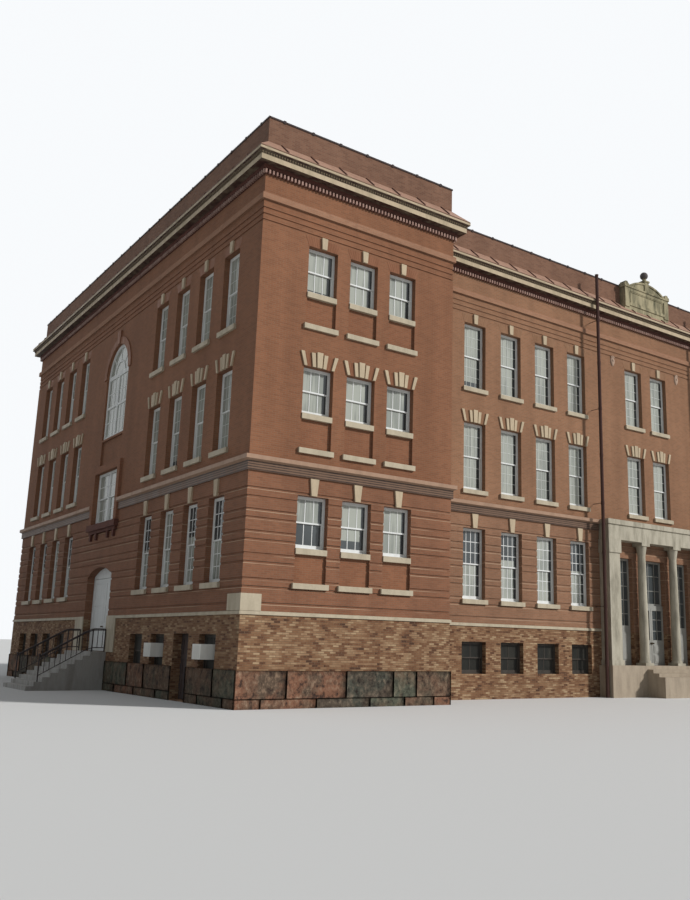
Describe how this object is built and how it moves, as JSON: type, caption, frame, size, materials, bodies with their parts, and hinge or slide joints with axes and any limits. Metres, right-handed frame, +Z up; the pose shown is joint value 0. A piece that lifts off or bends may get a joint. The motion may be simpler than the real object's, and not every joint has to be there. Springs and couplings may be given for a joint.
{
  "type": "school building (scale model 1:2)",
  "caption": "Long three-storey brick school building over a basement, with end pavilions, a portico, a deep cornice and a flat roof behind a parapet.",
  "frame": {"origin": "centre of the plan on the lowest ground line", "axes": "+X along the street front to the right as seen from the street, +Y towards the back, +Z up"},
  "size_m": [24.34, 13.29, 9.9405],
  "materials": {
    "brick": "matte orange-red face brick",
    "limestone": "honed limestone, weathered",
    "plinth_stone": "rough weathered stone",
    "cornice_paint": "weathered cream-green paint",
    "roof_metal": "faded reddish sheet metal",
    "dark_metal": "dark paint",
    "roofing": "matte roofing felt",
    "concrete": "plain concrete",
    "white_sash": "white paint",
    "appliance_white": "satin enamel"
  },
  "bodies": {
    "building": {"air_conditioners": "appliance_white", "basement_door_bay_walls": "brick", "basement_windows": "white_sash", "bed_moulding": "brick", "belt_course": "brick", "brick_aprons": "brick", "centre_back_wall": "brick", "centre_floors": "concrete", "centre_front_wall": "brick", "centre_roof": "roofing", "coping": "dark_metal", "cornerstone": "limestone", "door_jamb_stones": "limestone", "entry_landings": "concrete", "entry_platform": "limestone", "first_floor_windows": "white_sash", "front_entry_joinery": "white_sash", "keystones": "limestone", "pavilion_floors": "concrete", "pavilion_returns": "brick", "pavilion_roofs": "roofing", "pavilion_walls": "brick", "plinth_stones": "plinth_stone", "portico_columns": "limestone", "portico_entablature": "limestone", "portico_piers": "limestone", "rainwater_pipes": "dark_metal", "right_side_doors": "white_sash", "sash_sills": "white_sash", "second_floor_windows": "white_sash", "shields": "limestone", "side_cornices": "cornice_paint", "side_door_frames": "white_sash", "side_floors": "concrete", "side_parapets": "brick", "side_pent_roofs": "roof_metal", "side_walls_back": "brick", "side_walls_corner": "brick", "side_walls_middle": "brick", "stair_bay_walls": "brick", "stair_window_surrounds": "brick", "stair_windows": "white_sash", "stoop_railings": "dark_metal", "stoops": "limestone", "street_cornices": "cornice_paint", "street_parapets": "brick", "street_pent_roofs": "roof_metal", "string_course": "limestone", "tablet": "cornice_paint", "third_floor_windows": "white_sash", "water_table": "limestone", "window_sills": "limestone"},
    "front leaf of side door": {"side_door_front_leaf": "white_sash"},
    "back leaf of side door": {"side_door_back_leaf": "white_sash"},
    "basement door leaf": {"basement_door": "dark_metal"}
  },
  "joints": [
    {"name": "side_door_front_hinge", "type": "hinge", "parent": "building", "child": "front leaf of side door", "pos_m": [-10.6, -0.672, 1.44], "axis": [0, 0, 1], "range_deg": [0, 90]},
    {"name": "side_door_back_hinge", "type": "hinge", "parent": "building", "child": "back leaf of side door", "pos_m": [-10.6, 0.672, 1.44], "axis": [0, 0, -1], "range_deg": [0, 90]},
    {"name": "basement_door_hinge", "type": "hinge", "parent": "building", "child": "basement door leaf", "pos_m": [-10.6, -4.0595, 0.54], "axis": [0, 0, -1], "range_deg": [0, 90]}
  ]
}
